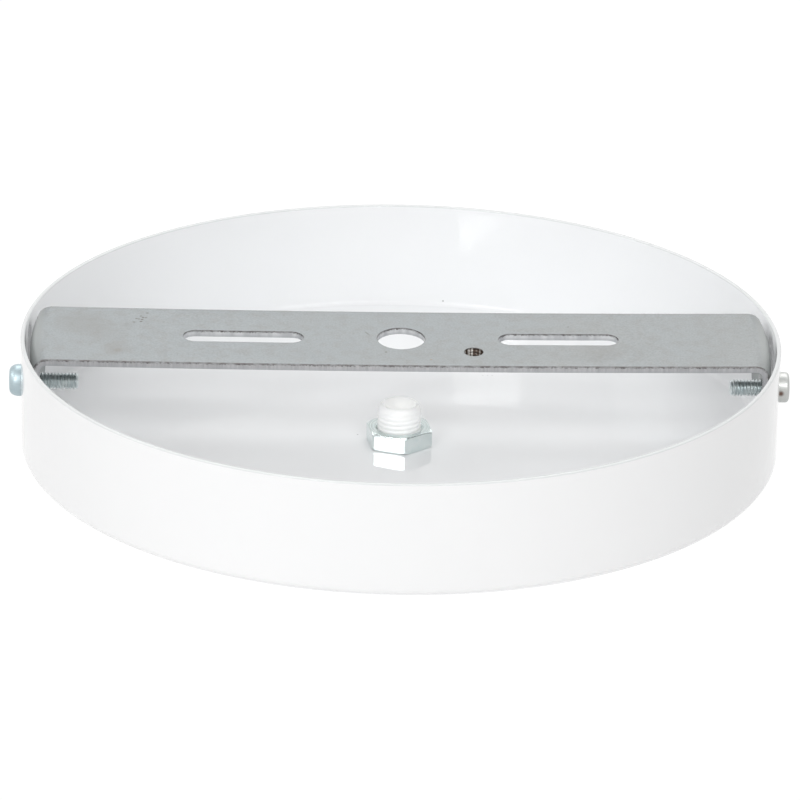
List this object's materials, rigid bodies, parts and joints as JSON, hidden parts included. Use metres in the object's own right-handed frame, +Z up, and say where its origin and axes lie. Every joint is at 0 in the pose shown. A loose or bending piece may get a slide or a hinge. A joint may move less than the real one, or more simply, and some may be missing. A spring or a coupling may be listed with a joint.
{
  "type": "light fixture ceiling canopy",
  "caption": "Round shallow white steel ceiling canopy hung by side screws on a slotted zinc crossbar, with a threaded plastic cord grip through its floor.",
  "frame": {"origin": "middle of the crossbar's top face, the face that lies against the ceiling", "axes": "+X along the crossbar, +Z up into the ceiling; the canopy opens upwards and hangs turned 4.67 degrees about the side screws, as pictured"},
  "size_m": [0.1756, 0.1713, 0.0492],
  "materials": {
    "white_paint": "gloss",
    "zinc_strip": "satin",
    "zinc_screw": "bright",
    "zinc_nut": "bright",
    "white_plastic": "satin"
  },
  "bodies": {
    "crossbar": {"crossbar": "zinc_strip"},
    "canopy": {"canopy_shell": "white_paint", "cord_grip": "white_plastic", "hex_nut": "zinc_nut"},
    "left_screw": {"side_screw_left": "zinc_screw"},
    "right_screw": {"side_screw_right": "zinc_screw"},
    "clamp_screw": {"cord_grip_screw": "white_plastic"}
  },
  "joints": [
    {"name": "canopy_swing", "type": "hinge", "parent": "crossbar", "child": "canopy", "pos_m": [0, 0, -0.0115], "axis": [1, 0, 0], "range_deg": [-53.33, 62.67]},
    {"name": "left_screw_back_out", "type": "slide", "parent": "crossbar", "child": "left_screw", "axis": [-1, 0, 0], "range_m": [0, 0.0106]},
    {"name": "right_screw_back_out", "type": "slide", "parent": "crossbar", "child": "right_screw", "axis": [1, 0, 0], "range_m": [0, 0.0086]},
    {"name": "clamp_screw_travel", "type": "slide", "parent": "canopy", "child": "clamp_screw", "axis": [0, 0.9967, -0.0814], "range_m": [0, 0.0026]}
  ]
}
